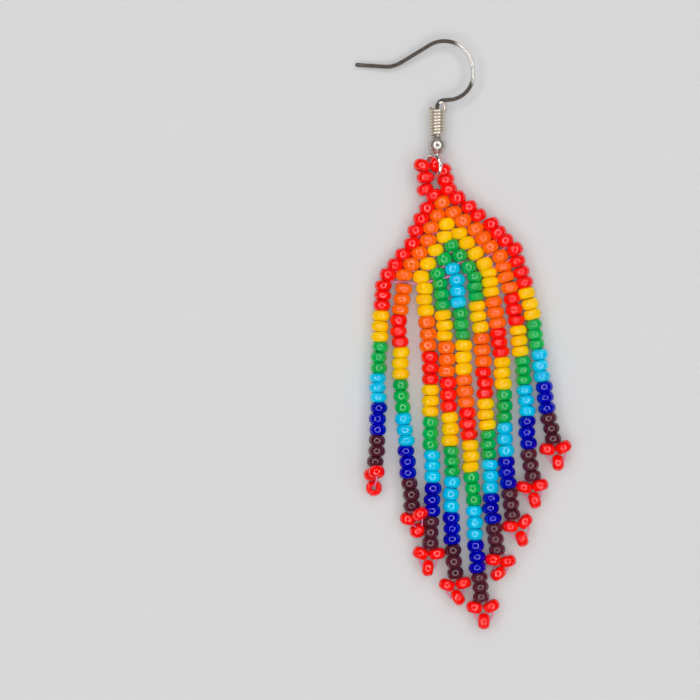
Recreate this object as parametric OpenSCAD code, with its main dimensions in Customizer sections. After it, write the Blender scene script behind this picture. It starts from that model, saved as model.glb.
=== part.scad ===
// Beaded fringe earring that lies flat on a surface, in millimetres.
// X runs to the right, Y from the fringe to the ear wire, Z up from the surface.
// The origin is under the middle of the whole earring, on the surface.

/* [Beads] */
// Outer diameter of a seed bead
bead_d = 2.3; // [2.1:0.05:2.3]
// Length of a seed bead along its hole
bead_l = 1.35; // [1.2:0.05:1.35]
// Diameter of the hole through a bead
bead_hole_d = 0.7; // [0.5:0.1:0.9]
// How far the edges of a bead are rounded
bead_round = 0.45; // [0.4:0.05:0.55]

/* [Woven top] */
// Distance between neighbouring beads of a row
row_step = 2.32; // [2.28:0.01:2.36]
// Thickness of the stitched layer between the rows
web_t = 1.2; // [0.8:0.1:1.6]

/* [Ear wire] */
// Diameter of the silver wire
wire_d = 0.6; // [0.5:0.02:0.6]
// Straight length at the free end, which goes through the ear
tip_l = 4; // [3:0.2:5]
// Radius of the closed eye at the wire's centreline
eye_r = 1.56; // [1.5:0.01:1.6]
// How far the eye leans over from upright, in degrees
eye_lean = 40; // [38:1:42]

/* [Ball and coil] */
// Diameter of the drilled ball
ball_d = 2.5; // [2.3:0.1:2.6]
// Diameter of the wire that the coil is wound from
coil_wire_d = 0.44; // [0.36:0.02:0.45]
// Number of turns in the coil
coil_turns = 8; // [7:1:9]
// Outer diameter of the coil at its middle
coil_d = 2.2; // [2:0.05:2.3]

/* [Hidden] */

wire_r = wire_d / 2;
joint_extra = 0.02;
joint_inset = 0.02;

// Stem of the ear wire: its axis in X and Z, and the ball's centre along it
stem_x = -3.86;
stem_z = 1.3;
ball_y = 27.14;
stem_bottom_y = ball_y - ball_d / 2 - 0.3;
ball_hole_d = wire_d + 0.24;

// The wire's path from the top of the stem to its free end. Each row runs
// straight, then bends: columns are straight length, bend radius, bend angle.
STRAIGHT = 0;
RADIUS = 1;
ANGLE = 2;
stem_top_y = 32.6;
wire_bends = [
    [0.0, 1.0, -87],
    [0.8, 3.6, 92],
    [0.8, 4.1, 116],
    [4.8, 4.0, -35],
];
hook_drop = 4.9;
tip_round = 0.1;

// Eye under the ball: its centre, and where its cut end and its neck are
eye_x = -4.20;
eye_y = 24.14;
eye_z = eye_r * cos(eye_lean) + wire_r;
eye_neck_angle = 58;
eye_end_angle = 105;

// Coil round the stem: close-wound, a little wider at its middle
coil_bottom_y = 28.62;
coil_pitch = 0.476;
coil_narrowing = 0.1;
coil_sides = 6;
coil_steps = 14;

// Beads of the hanging loop: columns are X, Y, Z, the turn of the hole's axis
// away from Y, and how far its far end is raised, in degrees
loop_beads = [
    [-5.75, 20.93, 1.10, 20, 0],
    [-5.96, 22.54, 1.69, 4, 0],
    [-6.28, 24.28, 1.62, -24, -14],
    [-4.26, 24.12, 1.49, -90, 0],
    [-2.34, 23.95, 1.10, 16, 0],
    [-2.40, 22.36, 1.10, 20, 0],
];

// Loose beads are drawn a little slimmer than the real ones, so that they stay apart
loose_bead_d = bead_d - 0.15;

// Rows of the woven top: columns are number of beads, X and Y halfway between
// the end beads, tilt in degrees, and how far the middle sags
BEADS = 0;
ROW_X = 1;
ROW_Y = 2;
TILT = 3;
SAG = 4;
rows = [
    [2, -3.36, 20.33, 23.5, 0],
    [3, -3.15, 18.89, 18.5, 0],
    [4, -2.74, 17.40, 13.5, 0.1],
    [5, -2.51, 15.96, 13.2, 0.2],
    [6, -1.87, 14.37, 13.1, 0.2],
    [7, -1.99, 13.04, 12.9, 0.4],
    [8, -2.10, 11.74, 12.6, 0.85],
    [9, -2.02, 10.32, 11.1, 1.25],
];
weave_d = row_step + 0.08;

// Strands of the fringe: columns are Y at the top and at the end, X at the top,
// a third down, two thirds down and at the end, and the end picot's layout, its
// turn, its shift to the right and how much lower it hangs
TOP_Y = 0;
END_Y = 1;
FIRST_X = 2;
PICOT_LAYOUT = 6;
PICOT_TURN = 7;
PICOT_SHIFT = 8;
PICOT_DROP = 9;
FLAT = 0;
FOLDED = 1;
RAISED = 2;
strands = [
    [7.60, -19.1, -11.70, -12.05, -12.35, -12.80, FOLDED, 0, 0, 0],
    [7.20, -25.4, -8.90, -9.10, -8.60, -7.45, RAISED, 0, 0, 0],
    [7.20, -30.8, -5.85, -4.95, -4.60, -4.95, FLAT, 0, -0.1, 0],
    [7.80, -35.1, -3.35, -2.40, -1.90, -1.20, FLAT, 3, -0.25, 0],
    [8.36, -38.35, -1.05, 0.20, 1.15, 2.40, FLAT, 3, 0, 0.07],
    [8.90, -31.7, 1.35, 2.75, 3.65, 4.80, FLAT, -2, 0.6, 0.12],
    [9.50, -26.6, 3.60, 5.25, 5.95, 7.05, FLAT, 20, 0.5, 0],
    [10.40, -21.1, 5.80, 7.80, 9.00, 9.75, FLAT, 6, 0.25, 0],
    [11.20, -15.7, 8.00, 10.10, 11.35, 12.85, FLAT, 10, 0.16, 0],
];
strand_d = bead_d - 0.2;
strand_sides = 8;
strand_ring_step = 6;
strand_end_l = 0.4;
strand_end_scale = 0.68;

// Beads of a picot, from the end of its strand, with the columns of the loop's
// beads. A flat one lies in a triangle. The folded one has a bead on top of
// another and one that stands on end, and the raised one leans on the next strand.
picot_layouts = [
    [
        [-1.24, -0.86, 1.08, -18, 0],
        [1.30, -0.82, 1.08, 30, 0],
        [0.05, -2.88, 1.08, 90, 0],
    ],
    [
        [-0.35, -1.14, 1.08, 4, 0],
        [0.30, -0.78, 3.26, 6, -20],
        [-0.16, -3.00, 0.68, 0, 90],
    ],
    [
        [-0.85, -1.06, 1.12, -14, 6],
        [1.03, -0.45, 2.56, 32, -12],
        [0.35, -2.94, 1.06, 20, 55],
    ],
];

// Outline of half a bead with rounded edges, from a radius of inner outwards
function bead_outline(diameter, inner) = let(
    r = diameter / 2 - bead_round,
    h = bead_l / 2 - bead_round
) concat(
    [[inner, -bead_l / 2]],
    [for (a = [-90:45:0]) [r + bead_round * cos(a), -h + bead_round * sin(a)]],
    [for (a = [0:45:90]) [r + bead_round * cos(a), h + bead_round * sin(a)]],
    [[inner, bead_l / 2]]
);

// A bead round the origin whose axis is turned away from Y and raised from the XY plane
module bead(diameter, inner, turn, raise = 0) {
    rotate([raise - 90, 0, turn])
        rotate_extrude($fn = 48) polygon(bead_outline(diameter, inner));
}

// Drilled beads of a table of places
module drilled_beads(places) {
    for (b = places)
        translate([b[0], b[1], b[2]]) bead(loose_bead_d, bead_hole_d / 2, b[3], b[4]);
}

// Place of bead i in a row of the woven top: X, Y and the turn of its axis
function row_bead(row, i) = let(
    half = (row[BEADS] - 1) / 2,
    u = (i - half) / half,
    across = (i - half) * row_step,
    down = row[SAG] * (1 - u * u),
    slope = atan(2 * row[SAG] * u / (half * row_step))
) [
    row[ROW_X] + across * cos(row[TILT]) + down * sin(row[TILT]),
    row[ROW_Y] + across * sin(row[TILT]) - down * cos(row[TILT]),
    row[TILT] + slope
];

// Cubic through four values that are a third apart, at t from 0 to 1
function through_four(v, t) = let(s = 3 * t)
    - v[0] * (s - 1) * (s - 2) * (s - 3) / 6
    + v[1] * s * (s - 2) * (s - 3) / 2
    - v[2] * s * (s - 1) * (s - 3) / 2
    + v[3] * s * (s - 1) * (s - 2) / 6;

// Point on a strand's centreline, at t from 0 at the top to 1 at its end
function strand_point(strand, t) = [
    through_four([for (k = [0:3]) strand[FIRST_X + k]], t),
    strand[TOP_Y] + (strand[END_Y] - strand[TOP_Y]) * t
];

// Direction in which a line runs at t, in degrees from X
function strand_heading(strand, t) = let(
    e = 0.01,
    d = strand_point(strand, t + e) - strand_point(strand, t - e)
) atan2(d[1], d[0]);

// Faces of a tube of rings, each with the same number of points, closed at both ends
function tube_faces(rings, sides) = concat(
    [[for (k = [0:sides - 1]) k]],
    [for (j = [0:rings - 2], k = [0:sides - 1]) [
        j * sides + k, (j + 1) * sides + k,
        (j + 1) * sides + (k + 1) % sides, j * sides + (k + 1) % sides
    ]],
    [[for (k = [sides - 1:-1:0]) (rings - 1) * sides + k]]
);

// A strand as a smooth tube that is narrowed at both ends like a rounded bead
module strand_tube(strand) {
    length = strand[TOP_Y] - strand[END_Y];
    count = ceil(length / strand_ring_step);
    taper = strand_end_l / length;
    corner_r = strand_d / 2 / cos(180 / strand_sides);
    stations = concat([0], [for (j = [0:count]) taper + (1 - 2 * taper) * j / count], [1]);
    points = [for (t = stations, k = [0:strand_sides - 1]) let(
        p = strand_point(strand, t),
        heading = strand_heading(strand, t),
        r = corner_r * ((t == 0 || t == 1) ? strand_end_scale : 1),
        a = (k + 0.5) * 360 / strand_sides
    ) [
        p[0] + r * cos(a) * -sin(heading),
        p[1] + r * cos(a) * cos(heading),
        strand_d / 2 + r * sin(a)
    ]];
    polyhedron(points, tube_faces(len(stations), strand_sides));
}

// Rounded joint between two stretches of wire, a hair thicker than the wire
module wire_joint() {
    sphere(d = wire_d + joint_extra, $fn = 32);
}

// Straight wire from the origin along Y, ending just inside the joint at each end
module wire_rod(length) {
    translate([0, joint_inset, 0]) rotate([-90, 0, 0])
        cylinder(d = wire_d, h = length - 2 * joint_inset, $fn = 48);
}

// Part of a ring of wire in the XY plane, anticlockwise round the origin
module wire_arc(radius, start, angle) {
    inset = joint_inset / radius * 180 / PI;
    rotate([0, 0, start + inset])
        rotate_extrude(angle = angle - 2 * inset, $fn = 96)
            translate([radius, 0]) circle(d = wire_d, $fn = 48);
}

// Free end of the wire along Y, with its edge rounded off
module wire_tip() {
    rotate([-90, 0, 0]) rotate_extrude($fn = 32) polygon([
        [0, joint_inset], [wire_r, joint_inset], [wire_r, tip_l],
        [wire_r - tip_round, tip_l + tip_round], [0, tip_l + tip_round]
    ]);
}

// Wire that starts along Y at the origin and follows the table of bends from row i on
module bent_wire(i) {
    wire_joint();
    if (i == len(wire_bends)) {
        wire_tip();
    } else {
        bend = wire_bends[i];
        side = sign(bend[ANGLE]);
        if (bend[STRAIGHT] > 0) {
            wire_rod(bend[STRAIGHT]);
            translate([0, bend[STRAIGHT], 0]) wire_joint();
        }
        translate([-side * bend[RADIUS], bend[STRAIGHT], 0]) {
            wire_arc(bend[RADIUS], side > 0 ? 0 : 180 + bend[ANGLE], abs(bend[ANGLE]));
            rotate([0, 0, bend[ANGLE]]) translate([side * bend[RADIUS], 0, 0]) bent_wire(i + 1);
        }
    }
}

// The eye's plane holds Y and leans to the right of upright
module in_eye_plane() {
    translate([eye_x, eye_y, eye_z]) rotate([0, eye_lean - 90, 0]) children();
}

// Short neck from the stem to the eye, with a rounded knuckle at each end
module eye_neck() {
    bottom = [stem_x, stem_bottom_y, stem_z];
    reach = [eye_r * cos(eye_neck_angle), eye_r * sin(eye_neck_angle)];
    start = [
        eye_x + reach[0] * sin(eye_lean),
        eye_y + reach[1],
        eye_z + reach[0] * cos(eye_lean)
    ];
    run = start - bottom;
    translate(bottom) {
        wire_joint();
        rotate([0, acos(run[2] / norm(run)), atan2(run[1], run[0])])
            rotate([90, 0, 0]) wire_rod(norm(run));
    }
    translate(start) wire_joint();
}

module ear_wire() {
    color("silver") union() {
        translate([stem_x, stem_bottom_y, stem_z]) wire_rod(stem_top_y - stem_bottom_y);
        translate([stem_x, stem_top_y, stem_z]) rotate([0, -hook_drop, 0]) bent_wire(0);
        eye_neck();
        in_eye_plane() wire_arc(eye_r, eye_end_angle, 360 + eye_neck_angle - eye_end_angle);
    }
}

module ball() {
    color("lightgray") translate([stem_x, ball_y, stem_z]) difference() {
        sphere(d = ball_d, $fn = 48);
        rotate([90, 0, 0]) cylinder(d = ball_hole_d, h = 2 * ball_d, center = true, $fn = 32);
    }
}

module coil() {
    steps = coil_turns * coil_steps;
    middle_r = (coil_d - coil_wire_d) / 2;
    points = [for (j = [0:steps], k = [0:coil_sides - 1]) let(
        t = j / steps,
        a = 360 * j / coil_steps,
        b = 360 * k / coil_sides,
        r = middle_r - coil_narrowing * pow(2 * t - 1, 2) + coil_wire_d / 2 * cos(b)
    ) [
        r * cos(a),
        coil_pitch * j / coil_steps + coil_wire_d / 2 * sin(b),
        r * sin(a)
    ]];
    color("gainsboro") translate([stem_x, coil_bottom_y, stem_z])
        polyhedron(points, tube_faces(steps + 1, coil_sides));
}

module hanging_loop() {
    color("red") drilled_beads(loop_beads);
}

// Stitched layer that joins the rows, from the first row's ends to the last row's beads
module weave_web() {
    last = len(rows) - 1;
    outline = concat(
        [for (r = [0:last - 1]) row_bead(rows[r], 0)],
        [for (i = [0:rows[last][BEADS] - 1]) row_bead(rows[last], i)],
        [for (r = [last - 1:-1:0]) row_bead(rows[r], rows[r][BEADS] - 1)]
    );
    translate([0, 0, (weave_d - web_t) / 2])
        linear_extrude(web_t) polygon([for (p = outline) [p[0], p[1]]]);
}

module woven_top() {
    color("orange") union() {
        weave_web();
        for (row = rows, i = [0:row[BEADS] - 1]) {
            place = row_bead(row, i);
            translate([place[0], place[1], weave_d / 2]) bead(weave_d, 0, place[2]);
        }
    }
}

module fringe_strand(n) {
    color("royalblue") strand_tube(strands[n - 1]);
}

module picot(n) {
    strand = strands[n - 1];
    end = strand_point(strand, 1);
    color("red") translate([end[0] + strand[PICOT_SHIFT], end[1] - strand[PICOT_DROP], 0])
        rotate([0, 0, strand[PICOT_TURN]]) drilled_beads(picot_layouts[strand[PICOT_LAYOUT]]);
}

ear_wire();
coil();
ball();
hanging_loop();
woven_top();
for (n = [1:len(strands)]) {
    fringe_strand(n);
    picot(n);
}
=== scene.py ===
"""Beaded fringe earring that lies flat on a pale surface, seen from straight above.

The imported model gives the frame. Its plain tubes and bead forms are replaced by drilled
glass seed beads on pink thread, and its wire, coil and ball by smooth polished silver.
Sizes in the classes are millimetres and angles are degrees; meshes are in metres.
X runs to the right, Y from the fringe to the ear wire, Z up from the surface.
"""

import logging
import math
import random
from contextlib import contextmanager
from dataclasses import dataclass, field, replace
from enum import Enum
from typing import Any, Callable, Iterator, Sequence

import bmesh
import bpy
from mathutils import Matrix, Vector


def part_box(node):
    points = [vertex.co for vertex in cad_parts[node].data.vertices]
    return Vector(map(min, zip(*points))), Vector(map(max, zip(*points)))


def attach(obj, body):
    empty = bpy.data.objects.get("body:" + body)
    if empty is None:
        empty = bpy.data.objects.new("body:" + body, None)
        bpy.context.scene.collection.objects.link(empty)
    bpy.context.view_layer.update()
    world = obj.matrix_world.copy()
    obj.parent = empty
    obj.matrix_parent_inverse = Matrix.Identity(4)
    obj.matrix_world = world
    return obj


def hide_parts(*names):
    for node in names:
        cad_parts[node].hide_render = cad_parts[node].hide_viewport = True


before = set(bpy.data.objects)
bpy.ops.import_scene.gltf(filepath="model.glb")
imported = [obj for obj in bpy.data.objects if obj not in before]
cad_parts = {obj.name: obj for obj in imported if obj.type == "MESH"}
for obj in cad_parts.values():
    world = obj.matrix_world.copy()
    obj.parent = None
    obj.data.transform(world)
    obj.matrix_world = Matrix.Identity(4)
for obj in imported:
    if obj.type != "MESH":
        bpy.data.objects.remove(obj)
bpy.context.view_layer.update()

MM = 0.001  # metres in a millimetre
ROOT = "root"  # the one body that all pieces ride on
SHADE = "shade"  # the attribute that makes beads differ in colour
BEAD_LENGTH = 1.54  # of the pattern bead, along its hole

log = logging.getLogger("earring")


def middle_of(node: str) -> Vector:
    """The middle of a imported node's box, in millimetres."""
    low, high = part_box(node)
    return (Vector(low) + Vector(high)) / 2 / MM


def set_in_frame(piece: bpy.types.Object, node: str) -> None:
    """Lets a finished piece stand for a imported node, and reports it.

    Args:
        piece: the finished piece.
        node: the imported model's node that it stands for.
    """
    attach(piece, ROOT)
    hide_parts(node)
    log.info("%s: %d faces", piece.name, len(piece.data.polygons))


class Num:
    """A number that may change over a surface, with the operators of plain arithmetic."""

    def __init__(self, tree: bpy.types.NodeTree, link: Any) -> None:
        """Wraps a node's output socket of a material's tree."""
        self.tree = tree
        self.link = link

    def _maths(self, operation: str, first: Any, second: Any, clamp: bool = False) -> "Num":
        """Adds one Math node.

        Args:
            operation: Blender's name of the operation.
            first: number or Num on the first socket.
            second: number or Num on the second socket.
            clamp: whether the result is kept between 0 and 1.

        Returns:
            The result as a Num.
        """
        node = self.tree.nodes.new("ShaderNodeMath")
        node.operation = operation
        node.use_clamp = clamp
        for socket, value in zip(node.inputs, (first, second)):
            if isinstance(value, Num):
                self.tree.links.new(value.link, socket)
            else:
                socket.default_value = value
        return Num(self.tree, node.outputs[0])

    def __add__(self, other: Any) -> "Num":
        """This plus other."""
        return self._maths("ADD", self, other)

    __radd__ = __add__

    def __sub__(self, other: Any) -> "Num":
        """This minus other."""
        return self._maths("SUBTRACT", self, other)

    def __rsub__(self, other: Any) -> "Num":
        """Other minus this."""
        return self._maths("SUBTRACT", other, self)

    def __mul__(self, other: Any) -> "Num":
        """This times other."""
        return self._maths("MULTIPLY", self, other)

    __rmul__ = __mul__

    def __truediv__(self, other: Any) -> "Num":
        """This over other."""
        return self._maths("DIVIDE", self, other)

    def __rtruediv__(self, other: Any) -> "Num":
        """Other over this."""
        return self._maths("DIVIDE", other, self)

    def kept(self) -> "Num":
        """This kept between 0 and 1."""
        return self._maths("ADD", self, 0.0, clamp=True)

    def around(self, value: float, width: float) -> "Num":
        """A value that this, from 0 to 1, varies within a width around it."""
        return self * width + (value - width / 2)


class Shader:
    """Builds the node tree of one material or light."""

    def __init__(self, tree: bpy.types.NodeTree) -> None:
        """Starts with an empty tree."""
        self.tree = tree
        tree.nodes.clear()

    def node(self, kind: str, settings: dict[str, Any], inputs: dict[Any, Any]) -> bpy.types.Node:
        """Adds one node.

        Args:
            kind: the node's type.
            settings: values of the node's own properties, set first.
            inputs: numbers, colours, sockets or Nums by the socket's name or number.

        Returns:
            The new node.
        """
        node = self.tree.nodes.new(kind)
        for name, value in settings.items():
            setattr(node, name, value)
        for name, value in inputs.items():
            socket = node.inputs[name]
            if isinstance(value, Num):
                value = value.link
            if isinstance(value, bpy.types.NodeSocket):
                self.tree.links.new(value, socket)
            else:
                socket.default_value = value
        return node

    def place(self) -> Any:
        """The Object coordinates, in metres."""
        return self.node("ShaderNodeTexCoord", {}, {}).outputs["Object"]

    def along(self, axis: str) -> Num:
        """One of the Object coordinates, X, Y or Z, in metres."""
        split = self.node("ShaderNodeSeparateXYZ", {}, {"Vector": self.place()})
        return Num(self.tree, split.outputs[axis])

    def noise(self, scale: float, detail: float) -> Num:
        """A noise between 0 and 1 over the Object coordinates.

        Args:
            scale: grains per metre.
            detail: how many finer layers it has.

        Returns:
            The noise as a Num.
        """
        grain = self.node(
            "ShaderNodeTexNoise", {"noise_dimensions": "3D"},
            {"Vector": self.place(), "Scale": scale, "Detail": detail},
        )
        return Num(self.tree, grain.outputs[0])

    def attribute(self, name: str) -> Num:
        """A number that each point of the mesh carries."""
        read = self.node("ShaderNodeAttribute", {"attribute_name": name}, {})
        return Num(self.tree, read.outputs["Fac"])

    def blend(self, factor: Any, low: Any, high: Any) -> Any:
        """Mixes two colours.

        Args:
            factor: 0 for low and 1 for high.
            low: colour or socket.
            high: colour or socket.

        Returns:
            The mixed colour's socket.
        """
        mix = self.node(
            "ShaderNodeMix", {"data_type": "RGBA"}, {0: factor, 6: low, 7: high},
        )
        return mix.outputs[2]

    def bump(self, height: Num, distance: float, strength: float) -> Any:
        """The normal of a surface with this height, for the Normal socket."""
        node = self.node(
            "ShaderNodeBump", {}, {"Height": height, "Distance": distance, "Strength": strength},
        )
        return node.outputs[0]

    def surface(self, inputs: dict[Any, Any]) -> None:
        """Ends a material's tree with a Principled surface with these inputs."""
        skin = self.node("ShaderNodeBsdfPrincipled", {}, inputs)
        self.node("ShaderNodeOutputMaterial", {}, {"Surface": skin.outputs[0]})


def linear(colour: tuple[int, int, int]) -> tuple[float, float, float, float]:
    """Turns a screen colour into a shader's colour.

    Args:
        colour: red, green and blue on screen, from 0 to 255.

    Returns:
        Linear red, green, blue and alpha.
    """
    parts = [part / 255 for part in colour]
    red, green, blue = (c / 12.92 if c <= 0.04045 else ((c + 0.055) / 1.055) ** 2.4 for c in parts)
    return (red, green, blue, 1.0)


@dataclass(frozen=True)
class Finish:
    """A material that is made once and then found by its name.

    Attributes:
        name: the material's name.
    """

    name: str

    def paint(self, shader: Shader) -> None:
        """Draws the material's nodes."""
        raise NotImplementedError

    def material(self) -> bpy.types.Material:
        """Makes the material, or finds the one that is there already.

        Returns:
            The material.
        """
        made = bpy.data.materials.get(self.name)
        if not made:
            made = bpy.data.materials.new(self.name)
            made.use_nodes = True
            self.paint(Shader(made.node_tree))
        return made


@dataclass(frozen=True)
class GlassFinish(Finish):
    """Opaque coloured glass of seed beads under a clear, glossy skin.

    Attributes:
        light: screen colour of the paler beads.
        deep: screen colour of the deeper beads.
        gloss: weight of the clear skin.
        roughness: of the glass under the skin.
        skin_roughness: how soft the skin's reflections are.
        skin_index: refractive index of the skin.
        depth: how far light spreads in the glass, in metres.
        between: how much the colour differs from bead to bead.
        within: how much it differs within a bead.
        shift: moves all beads towards the paler colour, or with a minus the deeper one.
        cloud: spots of paler glass per metre.
        grain: pits in the surface per metre.
        pit: depth of a pit, in metres.
    """

    light: tuple[int, int, int]
    deep: tuple[int, int, int]
    gloss: float
    roughness: float = 0.5
    skin_roughness: float = 0.03
    skin_index: float = 1.72
    depth: float = 0.0004
    between: float = 0.75
    within: float = 0.5
    shift: float = -0.12
    cloud: float = 900.0
    grain: float = 5200.0
    pit: float = 0.00001

    def paint(self, shader: Shader) -> None:
        """Draws the glass, a little different from bead to bead.

        Args:
            shader: builds the material's nodes.
        """
        shade = shader.attribute(SHADE) * self.between
        tint = (shade + shader.noise(self.cloud, detail=1.0) * self.within + self.shift).kept()
        grain = shader.noise(self.grain, detail=2.0)
        shader.surface({
            "Base Color": shader.blend(tint, linear(self.deep), linear(self.light)),
            "Roughness": grain.around(self.roughness, width=0.12),
            "IOR": 1.5,
            "Specular IOR Level": 0.0,
            "Subsurface Weight": 1.0,
            "Subsurface Radius": (1.0, 1.0, 1.0),
            "Subsurface Scale": self.depth,
            "Coat Weight": self.gloss,
            "Coat Roughness": self.skin_roughness,
            "Coat IOR": self.skin_index,
            "Normal": shader.bump(grain, self.pit, strength=0.15),
        })


class GlassColour(Enum):
    """The seed beads' colours, each with its letter in the tables."""

    RED = "R"
    ORANGE = "O"
    YELLOW = "Y"
    GREEN = "G"
    TURQUOISE = "B"
    ROYAL_BLUE = "D"
    AUBERGINE = "N"

    def finish(self) -> GlassFinish:
        """The glass of this colour."""
        return GLASSES[self]


GLASSES = {
    GlassColour.RED: GlassFinish("red_glass", (255, 16, 8), (250, 10, 6), gloss=0.8),
    GlassColour.ORANGE: GlassFinish("orange_glass", (255, 108, 10), (255, 96, 4), gloss=0.75),
    GlassColour.YELLOW: GlassFinish("yellow_glass", (255, 197, 0), (255, 185, 0), gloss=0.45),
    GlassColour.GREEN: GlassFinish("green_glass", (0, 179, 79), (0, 161, 67), gloss=0.85),
    GlassColour.TURQUOISE: GlassFinish(
        "turquoise_glass", (0, 197, 237), (0, 185, 225), gloss=0.85,
    ),
    GlassColour.ROYAL_BLUE: GlassFinish("royal_blue_glass", (0, 5, 182), (0, 0, 162), gloss=0.7),
    GlassColour.AUBERGINE: GlassFinish("aubergine_glass", (88, 33, 48), (76, 25, 39), gloss=0.72),
}


@dataclass(frozen=True)
class SilverFinish(Finish):
    """Polished silver with faint handling marks, and painted shade that may darken one side.

    With the default places no silver of the earring gets painted shade.

    Attributes:
        bright: screen colour of clean metal.
        marked_and_shaded: screen colour of the handling marks, and of the painted shade where the
            metal lacks reflections.
        roughness: how soft its reflections are.
        metal: how purely it mirrors, the rest being a thin veil of tarnish.
        darkening: how much the handling marks darken it.
        shade_side: X and Y of the unit vector along which shade_from and shade_to are measured.
        shade_from: where the painted shade starts, in millimetres.
        shade_to: where the painted shade is full, in millimetres.
        shade_above: Y from which the painted shade comes in, over the first millimetre, in
            millimetres.
        marks: handling marks per metre.
        scratch: depth of a mark, in metres.
    """

    bright: tuple[int, int, int]
    marked_and_shaded: tuple[int, int, int]
    roughness: float
    metal: float
    age: float = 0.12
    shade_side: tuple[float, float] = (0.928, 0.371)
    shade_from: float = 0.0
    shade_to: float = -1.0
    shade_above: float = 0.0
    marks: float = 2600.0
    scratch: float = 0.000001

    def paint(self, shader: Shader) -> None:
        """Draws the metal with its marks and its painted shade.

        Args:
            shader: builds the material's nodes.
        """
        # Painted shade: metal on one side and above a Y is coloured darker, standing in for
        # reflections that the lamps don't give there, and blended with the handling marks.
        side = shader.along("X") * self.shade_side[0] + shader.along("Y") * self.shade_side[1]
        reach = (self.shade_to - self.shade_from) * MM
        painted_shade = ((side - self.shade_from * MM) / reach).kept()
        height = ((shader.along("Y") - self.shade_above * MM) / MM).kept()
        marks = shader.noise(self.marks, detail=3.0)
        age = (painted_shade * height + (marks - 0.5) * self.age).kept()
        shader.surface({
            "Base Color": shader.blend(age, linear(self.bright), linear(self.marked_and_shaded)),
            "Metallic": self.metal,
            "Roughness": marks.around(self.roughness, width=0.01),
            "Normal": shader.bump(marks, self.scratch, strength=0.1),
        })


@dataclass(frozen=True)
class ThreadFinish(Finish):
    """Twisted pink beading thread.

    Attributes:
        light: screen colour of its lit fibres.
        deep: screen colour between them, painted shade in the furrows.
        roughness: of the fibres.
        fibres: fibres per metre.
        furrow: depth between the fibres, in metres.
    """

    name: str = "pink_thread"
    light: tuple[int, int, int] = (248, 158, 200)
    deep: tuple[int, int, int] = (226, 84, 148)
    roughness: float = 0.55
    fibres: float = 7000.0
    furrow: float = 0.00003

    def paint(self, shader: Shader) -> None:
        """Draws the thread's fibres, with painted highlight on them and painted shade between them.

        Args:
            shader: builds the material's nodes.
        """
        fibres = shader.noise(self.fibres, detail=3.0)
        shader.surface({
            "Base Color": shader.blend(fibres, linear(self.deep), linear(self.light)),
            "Roughness": fibres.around(self.roughness, width=0.2),
            "Normal": shader.bump(fibres, self.furrow, strength=0.5),
        })


@dataclass(frozen=True)
class FloorFinish(Finish):
    """Smooth pale board.

    Attributes:
        tone: its grey, from 0 to 1.
        deep: red, green and blue between its spots, over the tone.
        pale: red, green and blue in its spots, over the tone.
        roughness: how dull it is.
        mottle: spots per metre.
    """

    name: str = "pale_board"
    tone: float = 0.60
    deep: tuple[float, float, float] = (0.99, 0.99, 1.0)
    pale: tuple[float, float, float] = (1.01, 1.01, 1.015)
    roughness: float = 0.65
    mottle: float = 60.0

    def paint(self, shader: Shader) -> None:
        """Draws the board, a little paler and cooler in spots.

        Args:
            shader: builds the material's nodes.
        """
        mottle = shader.noise(self.mottle, detail=2.0)
        tints = (self.deep, self.pale)
        deep, pale = ((*(self.tone * part for part in tint), 1.0) for tint in tints)
        shader.surface({
            "Base Color": shader.blend(mottle, deep, pale),
            "Roughness": mottle.around(self.roughness, width=0.1),
            "Specular IOR Level": 0.2,
        })


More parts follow.
